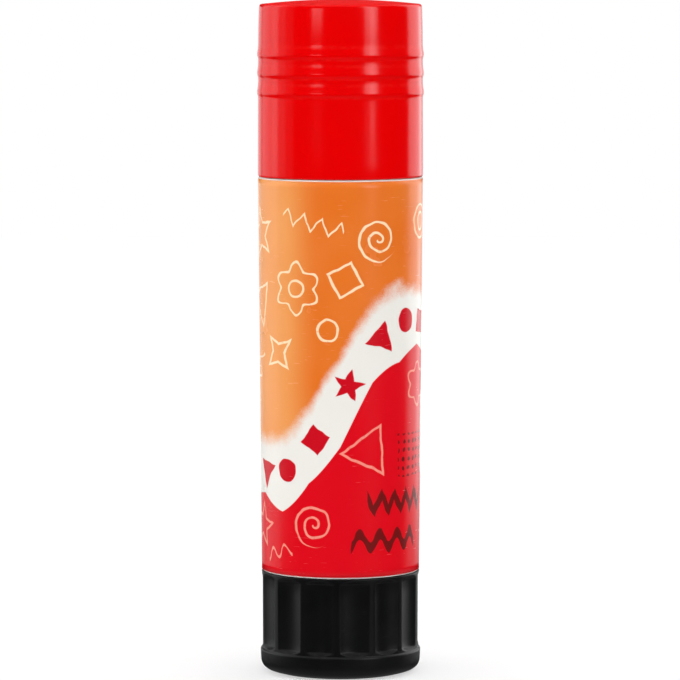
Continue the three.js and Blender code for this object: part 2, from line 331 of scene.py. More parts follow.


# A moulded plastic: its own colour with a slow mottle, hairlines, rubbed corners and a little dust. On the
# red cap and the black knob the rubbed corners are lighter, which is wear and also a painted edge
# highlight.
def mouldedPlastic(name, look):
    material, tree, shader = startMaterial(name)
    skin = useGroup(tree, mouldedSkin, GrainScale=look["grainScale"], MottleScale=look["mottleScale"])
    lines = useGroup(tree, hairlines, Stretch=look["scratchStretch"], Share=look["scratchShare"])["Lines"]
    outerCorners = useGroup(tree, rubbedEdges, Amount=look["edgeWearAndHighlight"])["Rubbed"]
    settled = useGroup(tree, settledDust, Amount=look["dust"])
    tint = mixColour(tree, skin["Mottle"], look["colour"], look["mottleColour"])
    scratched = times(tree, lines, look["scratchTint"])
    tint = mixColour(tree, scratched, tint, look["wearAndEdgeHighlightColour"])
    # Outer corners take the worn colour: wear, and where it is lighter than the plastic (cap, knob) also a
    # painted edge highlight
    tint = mixColour(tree, outerCorners, tint, look["wearAndEdgeHighlightColour"])
    tint = mixColour(tree, settled["Dust"], tint, look["dustColour"])
    gloss = sumOf(
        tree,
        ramp(tree, skin["Mottle"], 0.0, 1.0, look["smooth"], look["dull"], smooth=False),
        (lines, look["scratchDulling"]),
        (outerCorners, look["rubbedDulling"]),
        (settled["Up"], look["topDulling"]),
        (settled["Dust"], look["dustDulling"]),
    )
    relief = minus(tree, skin["Grain"], times(tree, lines, 0.8))
    finishShader(tree, shader, tint, gloss, relief, look["grainDepth"], {
        "IOR": look["ior"],
        "Subsurface Weight": look["softness"],
        "Subsurface Radius": (1.0, 1.0, 1.0),
        "Subsurface Scale": look["softDepth"] * mm,
    })
    return material


# What the plastics have in common, where a piece's own look says nothing else
plastic = {
    "grainDepth": 0.002,
    "scratchStretch": (300.0, 300.0, 5200.0),
    "scratchShare": 0.5,
    "scratchTint": 0.4,
    "scratchDulling": 0.12,
    "rubbedDulling": 0.15,
    "topDulling": 0.0,
    "dust": 0.12,
    "dustDulling": 0.35,
    "ior": 1.49,
    "softness": 0.0,
    "softDepth": 0.5,
}


print("glue stick: cap")

cap = {
    "rimZ": 63.28,
    "topZ": 85.7,
    "ceilingZ": 84.2,
    "rimRadius": 10.5,
    "gripRadius": 10.435,
    "crownRadius": 10.32,
    "boreRadius": 9.35,
    "rimRound": 0.3,
    "leadIn": 0.3,
    "innerRound": 0.7,
    "crownRound": 0.55,
    "crownRise": 0.57,
    "crownSteps": 6,
    "domeInset": 0.35,
    "domeSteps": 13,
    "ringHeights": (73.92, 76.32, 78.72),
    "ringRise": 0.15,
    "ringReturn": 0.55,
    "ringRamp": 1.1,
    "ringSoftness": 0.22,
    "gateRadius": 0.9,
    "gateDepth": 0.09,
    "gateSoftness": 0.1,
    "steps": 240,
    "look": {
        **plastic,
        "colour": colour(226, 1, 3),
        "mottleColour": colour(221, 3, 5),
        # The worn colour is lighter than the red, so on the corners it is a painted edge highlight as well
        # as wear
        "wearAndEdgeHighlightColour": colour(238, 62, 54),
        "dustColour": colour(226, 160, 150),
        "grainScale": 2400.0,
        "grainDepth": 0.0016,
        "mottleScale": 150.0,
        "scratchStretch": (5200.0, 5200.0, 120.0),
        "scratchShare": 0.35,
        "scratchTint": 0.06,
        "scratchDulling": 0.1,
        "smooth": 0.12,
        "dull": 0.17,
        "topDulling": 0.38,
        "edgeWearAndHighlight": 0.1,
        "dust": 0.1,
    },
}


gripTopZ = cap["ringHeights"][-1] + cap["ringRamp"]


# The flank below the crown leans in evenly from the rim
def capSide(height):
    share = (height - cap["rimZ"]) / (gripTopZ - cap["rimZ"])
    return cap["rimRadius"] + (cap["gripRadius"] - cap["rimRadius"]) * share


# From the end of the grip rings to the middle of the dome, and the gate mark there
def crownCorners():
    top, gate, soft = cap["topZ"], cap["gateRadius"], cap["gateSoftness"]
    domeEdge = top - cap["crownRise"]
    draft = cap["gripRadius"] - cap["crownRadius"]
    corners = []
    for step in range(1, cap["crownSteps"]):
        share = step / cap["crownSteps"]
        corners.append((cap["gripRadius"] - draft * share**2, gripTopZ + (domeEdge - gripTopZ) * share, 0))
    corners.append((cap["crownRadius"], domeEdge - 0.02, cap["crownRound"]))
    for step in range(1, cap["domeSteps"]):
        share = 1 - step / cap["domeSteps"]
        radius = (cap["crownRadius"] - cap["domeInset"]) * share
        if radius > gate + 3 * soft:
            corners.append((radius, top - cap["crownRise"] * share**2, 0))
    return corners + [
        (gate + 0.12, top - 0.012, soft),
        (gate - 0.1, top - cap["gateDepth"], soft),
        (0.25, top - cap["gateDepth"], soft),
        (0, top - 0.5 * cap["gateDepth"], 0),
    ]


def buildCap():
    bore, soft = cap["boreRadius"], cap["ringSoftness"]
    corners = [
        (0, cap["ceilingZ"], 0),
        (bore, cap["ceilingZ"], cap["innerRound"]),
        (bore, cap["rimZ"] + cap["leadIn"], 0.1),
        (bore + cap["leadIn"], cap["rimZ"], 0.08),
        (cap["rimRadius"], cap["rimZ"], cap["rimRound"]),
    ]
    for height in cap["ringHeights"]:
        under = height - cap["ringReturn"]
        over = height + cap["ringRamp"]
        corners += [
            (capSide(under), under, soft),
            (capSide(height) + cap["ringRise"], height, soft),
            (capSide(over), over, 2 * soft),
        ]
    form = turnedForm(refine(roundedProfile(corners + crownCorners()), 1.6), cap["steps"])
    finishPiece(form, "cap_shell", "cap", "cap", mouldedPlastic("cap plastic", cap["look"]))


buildCap()


print("glue stick: barrel")

barrel = {
    "footZ": 13.05,
    "shoulderZ": 63.23,
    "mouthZ": 78.65,
    "spigotZ": 10.65,
    "partitionZ": 13.95,
    "floorZ": 15.35,
    "footRadius": 9.94,
    "headRadius": 10.36,
    "neckRadius": 9.2,
    "boreRadius": 8.35,
    "spigotRadius": 8.52,
    "spigotBore": 7.42,
    "holeRadius": 3.1,
    "shoulderRound": 0.2,
    "mouthRound": 0.4,
    "beadHeights": (72.25, 75.45),
    "beadRise": 0.08,
    "beadHeight": 0.9,
    "keyTopZ": 76.65,
    "keyDepth": 0.5,
    "keyWidth": 1.2,
    "keySoftness": 0.08,
    "keyRamp": 0.25,
    "steps": 288,
    "look": {
        **plastic,
        "colour": colour(233, 232, 227),
        "mottleColour": colour(228, 227, 221),
        "wearAndEdgeHighlightColour": colour(222, 219, 210),
        "dustColour": colour(205, 200, 190),
        "grainScale": 2200.0,
        "mottleScale": 170.0,
        "smooth": 0.32,
        "dull": 0.42,
        "edgeWearAndHighlight": 0.35,
        "softness": 0.15,
    },
}


# Points of the bore move in at the two keys, which lie on the X axis and end below the mouth
def keyedBore(radius, height, angle, surface):
    if surface != "bore" or height > barrel["keyTopZ"]:
        return radius
    across = abs(radius * sin(angle))
    half = barrel["keyWidth"] / 2
    soft = barrel["keySoftness"]
    inside = held((half + soft - across) / (2 * soft))
    rise = held((barrel["keyTopZ"] - height) / barrel["keyRamp"])
    return radius - barrel["keyDepth"] * inside * rise


def buildBarrel():
    neck, bore = barrel["neckRadius"], barrel["boreRadius"]
    corners = [
        (barrel["holeRadius"], barrel["floorZ"], 0),
        (barrel["holeRadius"], barrel["partitionZ"], 0.05),
        (barrel["spigotBore"], barrel["partitionZ"], 0.1),
        (barrel["spigotBore"], barrel["spigotZ"], 0.15),
        (barrel["spigotRadius"], barrel["spigotZ"], 0.2),
        (barrel["spigotRadius"], barrel["footZ"], 0.1),
        (barrel["footRadius"], barrel["footZ"], 0.08),
        (barrel["headRadius"], barrel["shoulderZ"] - 0.05, barrel["shoulderRound"]),
        (barrel["headRadius"] - 0.05, barrel["shoulderZ"], 0.02),
        (neck, barrel["shoulderZ"], 0.1),
    ]
    for height in barrel["beadHeights"]:
        half = barrel["beadHeight"] / 2
        corners += [
            (neck, height - half, 0.12),
            (neck + barrel["beadRise"], height, 0.25),
            (neck, height + half, 0.12),
        ]
    corners += [
        (neck, barrel["mouthZ"], barrel["mouthRound"]),
        (bore, barrel["mouthZ"], 0.12, "bore"),
        (bore, barrel["keyTopZ"] + 0.01, 0, "bore"),
        (bore, barrel["keyTopZ"] - 0.12, 0, "bore"),
        (bore, barrel["keyTopZ"] - barrel["keyRamp"], 0, "bore"),
        (bore, barrel["floorZ"], 0.2, "bore"),
    ]
    rows = refine(roundedProfile(corners), 2.0)
    form = turnedForm(rows, barrel["steps"], keyedBore, ringed=True)
    material = mouldedPlastic("barrel plastic", barrel["look"])
    finishPiece(form, "barrel_tube", "barrel", "barrel", material)


buildBarrel()


print("glue stick: knob")

knob = {
    "height": 12.95,
    "flangeHeight": 3.1,
    "flangeStep": 0.2,
    "footRadius": 10.12,
    "footLift": 0.58,
    "footRound": 1.5,
    "ringRadius": 8.0,
    "flangeRadius": 10.225,
    "waistRadius": 10.02,
    "rimRadius": 10.06,
    "recessRadius": 7.0,
    "recessDepth": 0.4,
    "dimpleRadius": 0.9,
    "dimpleDepth": 0.15,
    "boreRadius": 8.77,
    "floorZ": 1.9,
    "hubRadius": 4.2,
    "hubTopZ": 13.85,
    "socketHalf": 2.05,
    "socketZ": 3.5,
    "webCount": 4,
    "webTopZ": 10.4,
    "webThickness": 1.0,
    "webOverlap": 0.3,
    "webSoftness": 0.1,
    "fluteCount": 14,
    "fluteDepth": 0.55,
    "cutterRadius": 4.7,
    "fluteTopZ": 12.75,
    "fluteRunout": 0.5,
    "runoutStep": 0.12,
    "fluteStep": 1.5,
    "crestSoftness": 0.03,
    "turn": -2.5,
    "steps": 560,
    "look": {
        **plastic,
        "colour": colour(9, 9, 10),
        "mottleColour": colour(12, 12, 13),
        # The worn colour is lighter than the black, so on the corners it is a painted edge highlight as
        # well as wear
        "wearAndEdgeHighlightColour": colour(58, 58, 60),
        "dustColour": colour(92, 90, 88),
        "grainScale": 2800.0,
        "mottleScale": 200.0,
        "scratchStretch": (240.0, 240.0, 5200.0),
        "scratchShare": 0.4,
        "scratchTint": 0.25,
        "smooth": 0.34,
        "dull": 0.4,
        "edgeWearAndHighlight": 0.25,
        "ior": 1.45,
    },
}


# The flutes are cut by a cylinder beside the axis. Its ends are sloped, so the flutes run out.
def flutedSide(radius, height, angle, surface):
    if surface == "socket":
        return radius / max(abs(cos(angle)), abs(sin(angle)))
    if surface != "side":
        return radius
    pitch = 2 * pi / knob["fluteCount"]
    aside = (angle - radians(knob["turn"]) + pitch / 2) % pitch - pitch / 2
    fromEnd = min(height - knob["flangeHeight"], knob["fluteTopZ"] - height)
    runout = held(fromEnd / knob["fluteRunout"])
    cutter = knob["cutterRadius"] - knob["fluteDepth"] * (1 - runout)
    axis = knob["waistRadius"] - knob["fluteDepth"] + knob["cutterRadius"]
    span = cutter**2 - (axis * sin(aside)) ** 2
    if span <= 0:
        return radius
    depth = radius - axis * cos(aside) + sqrt(span)
    return radius - (depth + sqrt(depth**2 + knob["crestSoftness"] ** 2)) / 2


def buildKnob():
    top, waist = knob["height"], knob["waistRadius"]
    lowEnd, highEnd = knob["flangeHeight"], knob["fluteTopZ"]
    dimpleZ = knob["recessDepth"] + knob["dimpleDepth"]
    corners = [
        (0, dimpleZ, 0),
        (knob["dimpleRadius"], dimpleZ, 0.08),
        (knob["dimpleRadius"] + 0.2, knob["recessDepth"], 0.08),
        (knob["recessRadius"], knob["recessDepth"], 0.2),
        (knob["recessRadius"], 0, 0.15),
        (knob["ringRadius"], 0, 0.3),
        (knob["footRadius"], knob["footLift"], knob["footRound"]),
        (knob["flangeRadius"], lowEnd - knob["flangeStep"], 0.14),
        (waist, lowEnd, 0.1),
    ]
    close, apart = knob["runoutStep"], knob["fluteStep"]
    flutes = [lowEnd + close * step for step in range(1, 6)]
    flutes += [lowEnd + apart * step for step in range(1, 6)]
    flutes += [highEnd - close * step for step in range(5, -1, -1)]
    for height in flutes:
        share = (height - lowEnd) / (top - lowEnd)
        corners.append((waist + (knob["rimRadius"] - waist) * share, height, 0, "side"))
    corners += [
        (knob["rimRadius"], top, 0.22),
        (knob["boreRadius"], top, 0.12),
        (knob["boreRadius"], knob["floorZ"], 0.2),
        (knob["hubRadius"], knob["floorZ"], 0.2),
        (knob["hubRadius"], knob["hubTopZ"], 0.15),
        (knob["socketHalf"], knob["hubTopZ"], 0, "socket"),
        (knob["socketHalf"], knob["socketZ"], 0, "socket"),
        (0, knob["socketZ"], 0),
    ]
    form = turnedForm(refine(roundedProfile(corners), 1.8), knob["steps"], flutedSide)
    half, overlap = knob["webThickness"] / 2, knob["webOverlap"]
    low = (knob["hubRadius"] - overlap, -half, knob["floorZ"] - overlap)
    high = (knob["boreRadius"] + overlap, half, knob["webTopZ"])
    for web in range(knob["webCount"]):
        angle = radians(knob["turn"]) + 2 * pi * web / knob["webCount"]
        addBar(form, low, high, angle, knob["webSoftness"])
    material = mouldedPlastic("knob plastic", knob["look"])
    finishPiece(form, "knob_body", "knob", "twist_knob", material)


buildKnob()


print("glue stick: label")

label = {
    "footZ": 13.2,
    "headZ": 63.08,
    "footRadius": 9.952,
    "headRadius": 10.37,
    "thickness": 0.1,
    "lap": 3.0,
    "lapSlope": 1.0,
    "steps": 320,
    "rows": 60,
    "bandMiddle": 22.6,
    "bandSwing": 11.2,
    "bandCurl": 2.1,
    "bandHalf": 4.4,
    "bandSwell": 0.9,
    "airbrush": 1.5,
    "toothHeight": 0.7,
    "toothPitch": 8.2,
    "cloudDepth": 3.2,
    "grainDepth": 1.2,
    "strayScale": 0.55,
    "stray": 0.6,
    "motifLine": 0.3,
    "leftFade": (-2.6, -7.8),
    "leftShare": 0.85,
    "driftShare": 0.15,
    "inkStrength": 0.85,
    "edgeWidth": 0.05,
    "bareShare": 0.5,
    "scuffTint": 0.035,
    "smooth": 0.22,
    "dull": 0.28,
    "creaseDepth": 0.012,
    "orange": colour(225, 112, 35),
    "amber": colour(236, 157, 88),
    "white": colour(233, 230, 224),
    "red": colour(217, 13, 28),
    "cream": colour(250, 222, 182),
    "pink": colour(242, 150, 132),
    "ink": colour(70, 24, 22),
    "symbolRed": colour(200, 16, 32),
}
labelRadius = (label["footRadius"] + label["headRadius"]) / 2


# Faces between two lines of points
def addStrip(form, first, second):
    for a, b, c, d in zip(first, first[1:], second[1:], second):
        form.faces.new((a, b, c, d))


# The film runs once round the barrel and its end lies on its start, at the back
def buildLabelForm():
    form = bmesh.new()
    printLayer = form.verts.layers.float_vector.new("printAt")
    lapAngle = label["lap"] / label["footRadius"]
    slope = label["lapSlope"] / label["footRadius"]
    start, span = (pi - lapAngle) / 2, 2 * pi + lapAngle
    stations = [start + span * step / label["steps"] for step in range(label["steps"] + 1)]
    sheets = []
    for layer in (0, 1):
        columns = []
        for angle in stations:
            share = held((angle - (2 * pi + start - slope)) / slope)
            lift = label["thickness"] * share * share * (3 - 2 * share)
            column = []
            for row in range(label["rows"] + 1):
                up = row / label["rows"]
                height = label["footZ"] + (label["headZ"] - label["footZ"]) * up
                radius = label["footRadius"] + (label["headRadius"] - label["footRadius"]) * up
                reach = (radius + lift + label["thickness"] * layer) * mm
                vert = form.verts.new((reach * cos(angle), reach * sin(angle), height * mm))
                along = (angle - 1.5 * pi) * labelRadius
                vert[printLayer] = Vector((along, height - label["footZ"], layer))
                column.append(vert)
            columns.append(column)
        sheets.append(list(zip(*columns)))
    inner, outer = sheets
    for sheet in sheets:
        for lower, upper in zip(sheet, sheet[1:]):
            addStrip(form, lower, upper)
    for end in (0, -1):
        addStrip(form, inner[end], outer[end])
        addStrip(form, [row[end] for row in inner], [row[end] for row in outer])
    return form


motifEdge = 0.05
motifInputs = {
    "Place": (0.0, 0.0, 0.0),
    "Middle": (0.0, 0.0, 0.0),
    "Size": 1.0,
    "Turn": 0.0,
    "Line": 0.24,
}


def startMotif(name, more, filled=True):
    return startGroup(name, {**motifInputs, **more}, ["Line", "Filled"] if filled else ["Line"])


# The point of the print, moved to a motif's middle and turned
def motifPlace(group, given):
    back = times(group, given["Turn"], -1.0)
    inputs = {"Vector": given["Place"], "Center": given["Middle"], "Angle": back}
    turned = place(group, "VectorRotate", inputs, rotation_type="Z_AXIS")
    moved = calc(group, "SUBTRACT", turned.outputs[0], given["Middle"], kind="VectorMath")
    parts = partsOf(group, moved)
    return parts["X"], parts["Y"]


def lineMask(group, given, distance):
    off = minus(group, calc(group, "ABSOLUTE", distance), times(group, given["Line"], 0.5))
    return ramp(group, off, motifEdge, -motifEdge)


# A line mask and a filled mask from the distance to a motif's outline
def motifMasks(group, given, result, distance):
    plug(group, lineMask(group, given, distance), result["Line"])
    plug(group, ramp(group, distance, motifEdge, -motifEdge), result["Filled"])


def length(group, x, y):
    return calc(group, "SQRT", plus(group, times(group, x, x), times(group, y, y)))


# The angle from the middle of the nearest side or point, where a motif has count of them
def foldedAngle(group, x, y, count):
    sector = calc(group, "DIVIDE", 2 * pi, count)
    half = times(group, sector, 0.5)
    angle = plus(group, calc(group, "ARCTAN2", x, y), half)
    return minus(group, calc(group, "FLOORED_MODULO", angle, sector), half)


# A shape with even sides, such as a triangle or a square. Size reaches the middle of a side.
def evenSidesGroup():
    group, given, result = startMotif("even sides", {"Sides": 4.0})
    x, y = motifPlace(group, given)
    folded = foldedAngle(group, x, y, given["Sides"])
    reach = times(group, length(group, x, y), calc(group, "COSINE", folded))
    motifMasks(group, given, result, minus(group, reach, given["Size"]))
    return group


# A pointed star. Size reaches its points.
def starGroup():
    group, given, result = startMotif("star", {"Points": 5.0})
    x, y = motifPlace(group, given)
    folded = foldedAngle(group, x, y, given["Points"])
    away = length(group, x, y)
    forward = minus(group, times(group, away, calc(group, "COSINE", folded)), given["Size"])
    aside = times(group, away, calc(group, "ABSOLUTE", calc(group, "SINE", folded)))
    distance = plus(group, times(group, forward, 0.4), times(group, aside, 0.917))
    motifMasks(group, given, result, distance)
    return group


# A ring with petals. With no petal depth it is a plain circle.
def petalRingGroup():
    group, given, result = startMotif("petal ring", {"Petals": 5.0, "Depth": 0.2})
    x, y = motifPlace(group, given)
    angle = times(group, calc(group, "ARCTAN2", x, y), given["Petals"])
    swell = calc(group, "MULTIPLY_ADD", calc(group, "COSINE", angle), given["Depth"], 1.0)
    distance = minus(group, length(group, x, y), times(group, swell, given["Size"]))
    motifMasks(group, given, result, distance)
    return group


# A spiral of a few turns out to Size
def spiralGroup():
    group, given, result = startMotif("spiral", {"Pitch": 0.9}, filled=False)
    x, y = motifPlace(group, given)
    away = length(group, x, y)
    turns = calc(group, "DIVIDE", calc(group, "ARCTAN2", y, x), 2 * pi)
    coil = minus(group, calc(group, "DIVIDE", away, given["Pitch"]), turns)
    near = minus(group, calc(group, "FRACT", coil), 0.5)
    drawn = lineMask(group, given, times(group, near, given["Pitch"]))
    within = ramp(group, away, given["Size"], minus(group, given["Size"], 0.15))
    plug(group, times(group, drawn, within), result["Line"])
    return group


# A zigzag or, with Smooth at 1, a wave. Size is half its length.
def zigzagGroup():
    more = {"Pitch": 1.6, "Height": 0.6, "Smooth": 0.0}
    group, given, result = startMotif("zigzag", more, filled=False)
    x, y = motifPlace(group, given)
    share = calc(group, "DIVIDE", x, given["Pitch"])
    saw = minus(group, calc(group, "PINGPONG", times(group, share, 2.0), 1.0), 0.5)
    wave = times(group, calc(group, "COSINE", times(group, share, 2 * pi)), -0.5)
    shape = place(group, "Mix", data_type="FLOAT")
    plug(group, given["Smooth"], shape.inputs[0])
    plug(group, saw, shape.inputs[2])
    plug(group, wave, shape.inputs[3])
    rise = times(group, shape.outputs[0], given["Height"])
    drawn = lineMask(group, given, times(group, minus(group, y, rise), 0.8))
    past = minus(group, calc(group, "ABSOLUTE", x), given["Size"])
    plug(group, times(group, drawn, ramp(group, past, motifEdge, -motifEdge)), result["Line"])
    return group


# A patch of dots in rows
def dotPatchGroup():
    group, given, result = startMotif("dot patch", {"Pitch": 1.1, "Height": 2.0}, filled=False)
    x, y = motifPlace(group, given)
    cells = []
    for part in (x, y):
        share = calc(group, "FRACT", calc(group, "DIVIDE", part, given["Pitch"]))
        cells.append(times(group, minus(group, share, 0.5), given["Pitch"]))
    dots = ramp(group, minus(group, length(group, *cells), given["Line"]), 0.04, -0.04)
    wide = minus(group, calc(group, "ABSOLUTE", x), given["Size"])
    high = minus(group, calc(group, "ABSOLUTE", y), given["Height"])
    within = ramp(group, calc(group, "MAXIMUM", wide, high), 0.02, -0.02)
    plug(group, times(group, dots, within), result["Line"])
    return group


# A panel with round corners. Size is half its width.
def panelGroup():
    group, given, result = startMotif("panel", {"Height": 4.0, "Corner": 1.0})
    x, y = motifPlace(group, given)
    parts = []
    for part, half in ((x, given["Size"]), (y, given["Height"])):
        over = minus(group, calc(group, "ABSOLUTE", part), half)
        parts.append(calc(group, "MAXIMUM", plus(group, over, given["Corner"]), 0.0))
    distance = minus(group, length(group, *parts), given["Corner"])
    motifMasks(group, given, result, distance)
    return group


evenSides = evenSidesGroup()
star = starGroup()
petalRing = petalRingGroup()
spiral = spiralGroup()
zigzag = zigzagGroup()
dotPatch = dotPatchGroup()
panel = panelGroup()


# Height of the middle of the white band, at a distance along the print from the front
def bandAt(along):
    around = along / labelRadius
    return label["bandMiddle"] + label["bandSwing"] * sin(around) + label["bandCurl"] * sin(3 * around)


# Outlines drawn on the two fields: (group, along, height, size, turn in degrees, other values)
outlines = [
    (star, -13.2, 43.0, 3.2, 12, {}),
    (petalRing, -5.8, 36.4, 2.8, 0, {"Petals": 6.0, "Depth": 0.17}),
    (petalRing, -5.8, 36.4, 1.0, 0, {"Depth": 0.0}),
    (zigzag, -3.6, 44.6, 4.2, -14, {"Pitch": 2.4, "Height": 2.0}),
    (spiral, 4.8, 42.6, 2.9, 0, {"Pitch": 1.25}),
    (evenSides, -13.4, 34.4, 1.6, 18, {"Sides": 3.0}),
    (evenSides, 0.6, 37.6, 1.6, 28, {"Sides": 4.0}),
    (star, -8.8, 28.2, 2.5, 40, {"Points": 4.0}),
    (zigzag, -14.4, 25.4, 3.2, 62, {"Pitch": 3.0, "Height": 1.6, "Smooth": 1.0}),
    (petalRing, -1.6, 31.2, 1.3, 0, {"Depth": 0.0}),
    (petalRing, 13.3, 44.6, 2.1, 0, {"Depth": 0.0}),
    (petalRing, 13.3, 44.6, 1.05, 0, {"Depth": 0.0}),
    (evenSides, 20.4, 45.2, 1.7, -20, {"Sides": 3.0}),
    (star, 27.8, 39.4, 2.8, 8, {}),
    (zigzag, 20.8, 39.4, 3.4, 24, {"Pitch": 2.3, "Height": 1.8}),
    (spiral, -27.4, 41.6, 2.9, 0, {"Pitch": 1.25}),
    (petalRing, -21.3, 44.2, 2.3, 10, {"Petals": 5.0, "Depth": 0.2}),
    (star, -20.6, 34.2, 2.1, 20, {"Points": 4.0}),
    (evenSides, -28.2, 33.0, 1.5, 10, {"Sides": 4.0}),
    (spiral, -3.4, 6.6, 2.9, 0, {"Pitch": 1.3}),
    (star, -13.2, 6.0, 2.8, -10, {}),
    (zigzag, -9.0, 2.9, 2.4, 12, {"Pitch": 2.4, "Height": 1.4, "Smooth": 1.0}),
    (evenSides, 3.6, 16.0, 1.8, 35, {"Sides": 3.0}),
    (petalRing, 12.6, 24.0, 2.4, 0, {"Petals": 6.0, "Depth": 0.17}),
    (zigzag, 20.6, 7.6, 3.6, -14, {"Pitch": 2.3, "Height": 1.8}),
    (star, 28.2, 5.6, 2.7, 0, {}),
    (petalRing, -20.8, 4.9, 2.2, 0, {"Petals": 5.0, "Depth": 0.2}),
    (evenSides, -27.0, 5.0, 1.4, 40, {"Sides": 3.0}),
]
# Solid shapes in a row on the white band, by turns
symbolRow = {
    "from": -11.6,
    "to": 13.6,
    "count": 7,
    "size": 1.55,
    "kinds": [
        (evenSides, {"Sides": 3.0}, 0.75),
        (petalRing, {"Depth": 0.0}, 0.95),
        (evenSides, {"Sides": 4.0}, 0.9),
        (star, {}, 1.4),
    ],
}
inkMarks = [
    (dotPatch, 11.9, 15.2, 3.85, 0, {"Pitch": 1.1, "Height": 2.75, "Line": 0.27}),
    (zigzag, 8.6, 9.4, 5.2, 0, {"Pitch": 2.1, "Height": 2.0, "Line": 1.2}),
    (zigzag, 6.6, 4.6, 5.2, 0, {"Pitch": 2.7, "Height": 1.7, "Smooth": 1.0, "Line": 1.2}),
]
blankPanel = {
    "along": 21.6,
    "height": 17.6,
    "half": 7.2,
    "halfHeight": 5.4,
    "corner": 1.2,
    "ruleHeights": (15.3, 18.7),
    "ruleHalf": 6.0,
    "ruleLine": 0.16,
}


